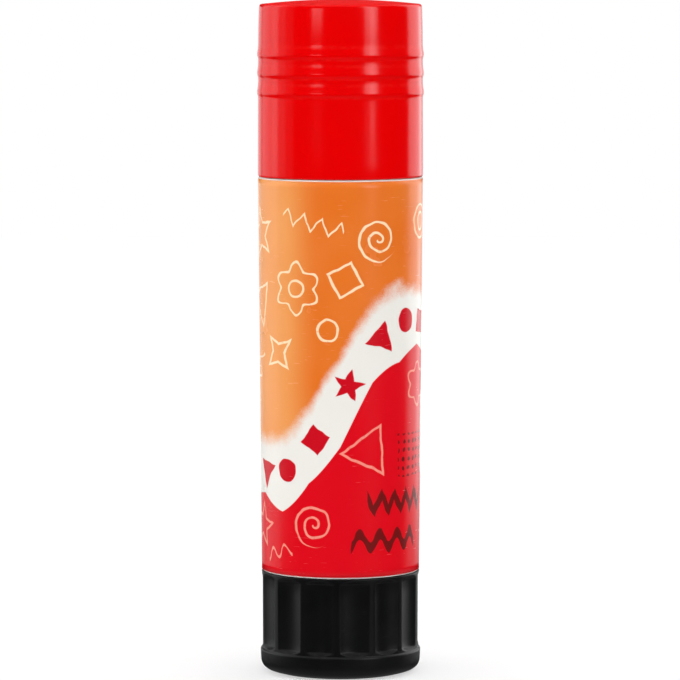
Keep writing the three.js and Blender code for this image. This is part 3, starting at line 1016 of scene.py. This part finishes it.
def labelMaterial():
    material, tree, shader = startMaterial("label film")
    at = place(tree, "Attribute", attribute_name="printAt").outputs["Vector"]
    parts = partsOf(tree, at)
    along, height, face = parts["X"], parts["Y"], parts["Z"]

    # The motifs look drawn by hand, since the point that they are drawn at strays
    inputs = {"Vector": at, "Scale": label["strayScale"], "Detail": 1.0}
    stray = place(tree, "TexNoise", inputs).outputs["Color"]
    stray = calc(tree, "SUBTRACT", stray, (0.5, 0.5, 0.5), kind="VectorMath")
    byHand = calc(tree, "MULTIPLY_ADD", stray, (label["stray"], label["stray"], 0.0), at, kind="VectorMath")

    def marks(rows, output, line):
        total = None
        for group, x, y, size, turn, more in rows:
            values = {"Size": size, "Turn": radians(turn), "Line": line, **more}
            mask = useGroup(tree, group, Place=byHand, Middle=(x, y, 0.0), **values)[output]
            total = mask if total is None else calc(tree, "MAXIMUM", total, mask)
        return total

    # The band: soft above, where it was sprayed, and cut below
    around = calc(tree, "DIVIDE", along, labelRadius)
    swing = times(tree, calc(tree, "SINE", around), label["bandSwing"])
    curl = calc(tree, "SINE", times(tree, around, 3.0))
    middle = plus(tree, calc(tree, "MULTIPLY_ADD", curl, label["bandCurl"], label["bandMiddle"]), swing)
    swell = calc(tree, "COSINE", times(tree, around, 2.0))
    half = calc(tree, "MULTIPLY_ADD", swell, label["bandSwell"], label["bandHalf"])
    sprayed = minus(tree, minus(tree, height, middle), half)
    for scale, detail, depth in ((0.35, 3.0, label["cloudDepth"]), (6.0, 2.0, label["grainDepth"])):
        puffs = noise(tree, at, scale, detail, 0.6)
        sprayed = plus(tree, sprayed, calc(tree, "MULTIPLY_ADD", puffs, depth, -depth / 2))
    orangeMask = ramp(tree, sprayed, -label["airbrush"], label["airbrush"])
    pitch, rise = label["toothPitch"], label["toothHeight"]
    teeth = calc(tree, "PINGPONG", along, pitch / 2)
    teeth = calc(tree, "MULTIPLY_ADD", teeth, 4 * rise / pitch, -rise)
    underBand = minus(tree, minus(tree, middle, half), height)
    redMask = ramp(tree, plus(tree, underBand, teeth), -0.06, 0.06)

    # The fields, with the slow unevenness of the print
    drift = noise(tree, at, 0.09, 2.0)
    leftward = times(tree, ramp(tree, along, *label["leftFade"]), label["leftShare"])
    lighter = times(tree, ramp(tree, drift, 0.3, 0.7), label["driftShare"])
    lighter = plus(tree, lighter, leftward)
    orange = mixColour(tree, lighter, label["orange"], label["amber"])
    tint = mixColour(tree, orangeMask, label["white"], orange)
    tint = mixColour(tree, redMask, tint, label["red"])

    # Drawn outlines, pale on both fields
    pale = marks(outlines, "Line", label["motifLine"])
    paleTint = mixColour(tree, redMask, label["cream"], label["pink"])
    skipping = ramp(tree, noise(tree, at, 2.2, 2.0), 0.25, 0.45, 0.62, 0.95)
    tint = mixColour(tree, times(tree, pale, skipping), tint, paleTint)

    # The row of solid shapes on the band
    symbols = []
    for number in range(symbolRow["count"]):
        share = number / (symbolRow["count"] - 1)
        x = symbolRow["from"] + (symbolRow["to"] - symbolRow["from"]) * share
        turn = degrees(atan2(bandAt(x + 0.1) - bandAt(x - 0.1), 0.2))
        group, more, size = symbolRow["kinds"][number % len(symbolRow["kinds"])]
        symbols.append((group, x, bandAt(x), size * symbolRow["size"], turn, more))
    tint = mixColour(tree, marks(symbols, "Filled", 0.2), tint, label["symbolRed"])
    inked = times(tree, marks(inkMarks, "Line", label["motifLine"]), label["inkStrength"])
    tint = mixColour(tree, inked, tint, label["ink"])

    # A blank panel with two rules at the back
    x, y = blankPanel["along"], blankPanel["height"]
    sides = {"Height": blankPanel["halfHeight"], "Corner": blankPanel["corner"]}
    box = marks([(panel, x, y, blankPanel["half"], 0, sides)], "Filled", 0.2)
    tint = mixColour(tree, box, tint, label["white"])
    flat = {"Height": 0.0}
    rules = [(zigzag, x, y, blankPanel["ruleHalf"], 0, flat) for y in blankPanel["ruleHeights"]]
    tint = mixColour(tree, marks(rules, "Line", blankPanel["ruleLine"]), tint, label["symbolRed"])

    # Cut edges show the white film, and handling leaves faint rubs
    fromTop = minus(tree, label["headZ"] - label["footZ"], height)
    bare = ramp(tree, calc(tree, "MINIMUM", fromTop, height), label["edgeWidth"], 0.0)
    bare = calc(tree, "MAXIMUM", bare, ramp(tree, face, 0.98, 0.6))
    tint = mixColour(tree, times(tree, bare, label["bareShare"]), tint, label["white"])
    scuffs = useGroup(tree, hairlines, Stretch=(420.0, 420.0, 5200.0), Share=0.4)["Lines"]
    tint = mixColour(tree, times(tree, scuffs, label["scuffTint"]), tint, label["white"])
    skin = useGroup(tree, mouldedSkin, GrainScale=1500.0, MottleScale=140.0)
    gloss = ramp(tree, skin["Mottle"], 0.0, 1.0, label["smooth"], label["dull"], smooth=False)
    gloss = sumOf(tree, gloss, (scuffs, 0.08), (bare, 0.25))
    upright = place(tree, "Mapping", {"Vector": at, "Scale": (0.5, 0.04, 1.0)}).outputs[0]
    relief = plus(tree, times(tree, skin["Grain"], 0.12), noise(tree, upright, 1.0, 1.0))
    finishShader(tree, shader, tint, gloss, relief, label["creaseDepth"], {"IOR": 1.5})
    return material


finishPiece(buildLabelForm(), "label_sheet", "barrel", "label", labelMaterial())


print("glue stick: glue")

glue = {
    "topZ": 76.95,
    "radius": 8.2,
    "cupZ": 24.95,
    "cupRadius": 7.1,
    "footZ": 18.15,
    "nutRadius": 4.3,
    "nutTopZ": 25.45,
    "boreRadius": 3.05,
    "boreTopZ": 68.65,
    "topRound": 0.6,
    "dish": 0.25,
    "slotRadius": 7.7,
    "slotWidth": 1.5,
    "slotSoftness": 0.12,
    "steps": 288,
    "colour": colour(238, 233, 218),
    "dryColour": colour(228, 219, 196),
    "wetColour": colour(244, 241, 230),
    "smooth": 0.38,
    "dull": 0.58,
    "streakDepth": 0.03,
    "softness": 0.35,
    "softDepth": 1.2,
}


# The stick has two slots, which clear the keys of the bore
def slottedSide(radius, height, angle, surface):
    if surface != "side":
        return radius
    across = abs(radius * sin(angle))
    inside = held((glue["slotWidth"] / 2 + 0.1 - across) / glue["slotSoftness"])
    return radius - max(0, radius - glue["slotRadius"]) * inside


def glueMaterial():
    material, tree, shader = startMaterial("glue paste")
    at = objectPoint(tree)
    skin = useGroup(tree, mouldedSkin, GrainScale=1100.0, MottleScale=210.0)
    outerCorners = useGroup(tree, rubbedEdges, Amount=0.8, BreakScale=500.0)["Rubbed"]
    clouds = ramp(tree, noise(tree, at, 120.0, 4.0, 0.6), 0.35, 0.7)
    pits = ramp(tree, noise(tree, at, 1500.0, 1.0), 0.66, 0.74)
    tint = mixColour(tree, clouds, glue["colour"], glue["dryColour"])
    tint = mixColour(tree, times(tree, skin["Mottle"], 0.5), tint, glue["wetColour"])
    tint = mixColour(tree, times(tree, pits, 0.4), tint, glue["dryColour"])
    gloss = ramp(tree, clouds, 0.0, 1.0, glue["smooth"], glue["dull"], smooth=False)
    gloss = sumOf(tree, gloss, (outerCorners, 0.15))
    drag = place(tree, "Mapping", {"Vector": at, "Scale": (1600.0, 1600.0, 40.0)})
    streaks = noise(tree, drag.outputs[0], 1.0, 2.0)
    relief = calc(tree, "MULTIPLY_ADD", streaks, 0.5, times(tree, skin["Grain"], 0.5))
    relief = minus(tree, relief, pits)
    finishShader(tree, shader, tint, gloss, relief, glue["streakDepth"], {
        "IOR": 1.46,
        "Subsurface Weight": glue["softness"],
        "Subsurface Radius": (1.0, 0.9, 0.7),
        "Subsurface Scale": glue["softDepth"] * mm,
    })
    return material


def buildGlue():
    corners = [
        (0, glue["boreTopZ"], 0),
        (glue["boreRadius"], glue["boreTopZ"], 0.2),
        (glue["boreRadius"], glue["nutTopZ"], 0.1),
        (glue["nutRadius"], glue["nutTopZ"], 0.1),
        (glue["nutRadius"], glue["footZ"], 0.1),
        (glue["cupRadius"], glue["footZ"], 0.2),
        (glue["cupRadius"], glue["cupZ"], 0.05, "side"),
        (glue["radius"], glue["cupZ"], 0.1, "side"),
        (glue["radius"], glue["topZ"], glue["topRound"], "side"),
        (glue["radius"] * 0.8, glue["topZ"] - glue["dish"] * 0.2, 0.6, "side"),
        (glue["radius"] * 0.5, glue["topZ"] - glue["dish"] * 0.6, 0.8),
        (glue["radius"] * 0.2, glue["topZ"] - glue["dish"], 0.6),
        (0, glue["topZ"] - glue["dish"], 0),
    ]
    rows = refine(roundedProfile(corners), 1.5)
    form = turnedForm(rows, glue["steps"], slottedSide)
    finishPiece(form, "glue_block", "carrier", "glue", glueMaterial())


buildGlue()


print("glue stick: screw and carrier")

# Natural plastic of the two pieces inside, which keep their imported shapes
innerLook = {
    **plastic,
    "colour": colour(232, 232, 226),
    "mottleColour": colour(222, 222, 214),
    "wearAndEdgeHighlightColour": colour(206, 204, 194),
    "dustColour": colour(200, 196, 184),
    "grainScale": 2000.0,
    "grainDepth": 0.003,
    "mottleScale": 220.0,
    "scratchDulling": 0.1,
    "smooth": 0.34,
    "dull": 0.48,
    "edgeWearAndHighlight": 0.3,
    "dust": 0.08,
    "softness": 0.2,
}
for node, name, warmth in (
    ("lead_screw", "screw plastic", 0),
    ("glue_carrier", "carrier plastic", 6),
):
    look = {**innerLook, "colour": colour(232, 232 - warmth // 2, 226 - warmth)}
    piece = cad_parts[node]
    piece.material_slots[0].material = mouldedPlastic(name, look)


print("glue stick: floor, light and camera")

studio = {
    "floorRadius": 4.0,
    "floorTint": 0.4,
    "floorGlow": 0.54,
    "floorFade": (0.25, 0.9),
    "floorSides": 96,
    "boxes": [
        # name, azimuth from the front towards +X, elevation, distance, width, height, brightness
        ("left softbox", -119, 14.5, 0.9, 0.72, 0.86, 0.8),
        ("left wing", -97, 16.5, 0.9, 0.44, 0.86, 0.36),
        ("left edge", -78, 16.5, 0.9, 0.3, 0.86, 0.14),
        ("right softbox", 132, 16.5, 0.9, 0.76, 0.86, 1.4),
        ("strip", 43.5, 20.5, 0.8, 0.27, 0.54, 2.2),
        ("low strip", 45, 16.5, 0.8, 0.1, 0.5, 1.5),
        ("small lamp", -33, 7.5, 0.8, 0.2, 0.09, 2.0),
    ],
    "fills": [
        # name, azimuth, elevation, strength
        ("front fill", -14, 6, 1.78),
        ("left fill", -85, 12, 1.6),
        ("right fill", 85, 12, 1.62),
        ("back fill", 180, 12, 1.5),
        ("top fill", 0, 90, 1.5),
        ("floor fill", 0, -90, 1.0),
    ],
    "fillSpread": 100,
    "lampAimZ": 0.05,
}


# A lamp or a camera, at a distance from a point of the axis and turned to it
def standAt(name, data, azimuth, elevation, distance, aimZ):
    thing = bpy.data.objects.new(name, data)
    scene.collection.objects.link(thing)
    a, e = radians(azimuth), radians(elevation)
    towards = Vector((sin(a) * cos(e), -cos(a) * cos(e), sin(e)))
    thing.location = Vector((0, 0, aimZ)) + towards * distance
    thing.rotation_mode = "QUATERNION"
    thing.rotation_quaternion = towards.to_track_quat("Z", "Y")
    return thing


# Softboxes shine in the gloss of the plastics
def addBox(name, azimuth, elevation, distance, width, height, brightness):
    data = bpy.data.lights.new(name, "AREA")
    data.shape = "RECTANGLE"
    data.size, data.size_y = width, height
    data.energy = brightness * pi * width * height
    box = standAt(name, data, azimuth, elevation, distance, studio["lampAimZ"])
    box.visible_camera = False


# Fills stand for the even light of the room, and leave the gloss alone
def addFill(name, azimuth, elevation, strength):
    data = bpy.data.lights.new(name, "SUN")
    data.energy = strength
    data.angle = radians(studio["fillSpread"])
    data.cycles.use_multiple_importance_sampling = False
    fill = standAt(name, data, azimuth, elevation, 1.0, studio["lampAimZ"])
    fill.visible_camera = False
    fill.visible_glossy = False


for row in studio["boxes"]:
    addBox(*row)
for row in studio["fills"]:
    addFill(*row)


# A pale floor, which fades to the white of the room far out and keeps the shadow of the stick
def buildFloor():
    form = bmesh.new()
    sides, radius = studio["floorSides"], studio["floorRadius"]
    bmesh.ops.create_circle(form, cap_ends=True, segments=sides, radius=radius)
    mesh = bpy.data.meshes.new("floor")
    form.to_mesh(mesh)
    form.free()
    floor = bpy.data.objects.new("floor", mesh)
    scene.collection.objects.link(floor)
    floor.visible_glossy = False
    floor.visible_diffuse = False
    floor.visible_shadow = False
    material, tree, shader = startMaterial("floor")
    tree.nodes.remove(shader)
    output = tree.nodes["Material Output"]
    at = objectPoint(tree)
    far = place(tree, "VectorMath", {0: at}, operation="LENGTH").outputs["Value"]
    grey = studio["floorTint"]
    matt = place(tree, "BsdfDiffuse", {"Color": (grey, grey, grey, 1)})
    seen = place(tree, "LightPath").outputs["Is Camera Ray"]
    strength = times(tree, seen, studio["floorGlow"])
    glow = place(tree, "Emission", {"Color": (1, 1, 1, 1), "Strength": strength})
    near = place(tree, "AddShader")
    tree.links.new(matt.outputs[0], near.inputs[0])
    tree.links.new(glow.outputs[0], near.inputs[1])
    white = place(tree, "Emission", {"Color": (1, 1, 1, 1), "Strength": 1.0})
    whole = place(tree, "MixShader")
    plug(tree, ramp(tree, far, *studio["floorFade"]), whole.inputs[0])
    tree.links.new(near.outputs[0], whole.inputs[1])
    tree.links.new(white.outputs[0], whole.inputs[2])
    # From below the floor is clear, so that the foot can be seen
    clear = place(tree, "BsdfTransparent")
    oneSided = place(tree, "MixShader")
    plug(tree, place(tree, "NewGeometry").outputs["Backfacing"], oneSided.inputs[0])
    tree.links.new(whole.outputs[0], oneSided.inputs[1])
    tree.links.new(clear.outputs[0], oneSided.inputs[2])
    tree.links.new(oneSided.outputs[0], output.inputs["Surface"])
    mesh.materials.append(material)


buildFloor()


# The room: white where the camera sees it, and for gloss pale high up and low down
def buildRoom():
    world = bpy.data.worlds.new("studio")
    scene.world = world
    world.use_nodes = True
    world.cycles.sampling_method = "NONE"
    tree = world.node_tree
    room = tree.nodes["Background"]
    room.inputs["Color"].default_value = (1, 1, 1, 1)
    direction = place(tree, "TexCoord").outputs["Generated"]
    parts = partsOf(tree, direction)
    rise = parts["Z"]
    above = ramp(tree, rise, 0.5, 0.85, 0.0, 0.45)
    below = ramp(tree, rise, -0.25, -0.6, 0.0, 0.2)
    low = times(tree, ramp(tree, rise, 0.1, 0.04), ramp(tree, rise, -0.17, -0.1))
    behind = times(tree, low, ramp(tree, parts["Y"], 0.74, 0.88, 0.0, 0.85))
    rays = place(tree, "LightPath").outputs
    shine = plus(tree, calc(tree, "MAXIMUM", above, below), behind)
    shine = times(tree, rays["Is Glossy Ray"], shine)
    seen = calc(tree, "MAXIMUM", rays["Is Camera Ray"], rays["Is Transmission Ray"])
    plug(tree, plus(tree, shine, seen), room.inputs["Strength"])


buildRoom()

view = {"distance": 0.567, "elevation": 4.9, "aimZ": 0.0424, "lens": 235.5, "shift": -0.0007}


def buildCamera():
    data = bpy.data.cameras.new("camera")
    data.lens = view["lens"]
    data.sensor_width = 36
    data.shift_x = view["shift"]
    camera = standAt("camera", data, 0, view["elevation"], view["distance"], view["aimZ"])
    data.clip_start, data.clip_end = 0.01, 50
    scene.camera = camera


buildCamera()
scene.view_settings.view_transform = "Standard"

print("glue stick: done")
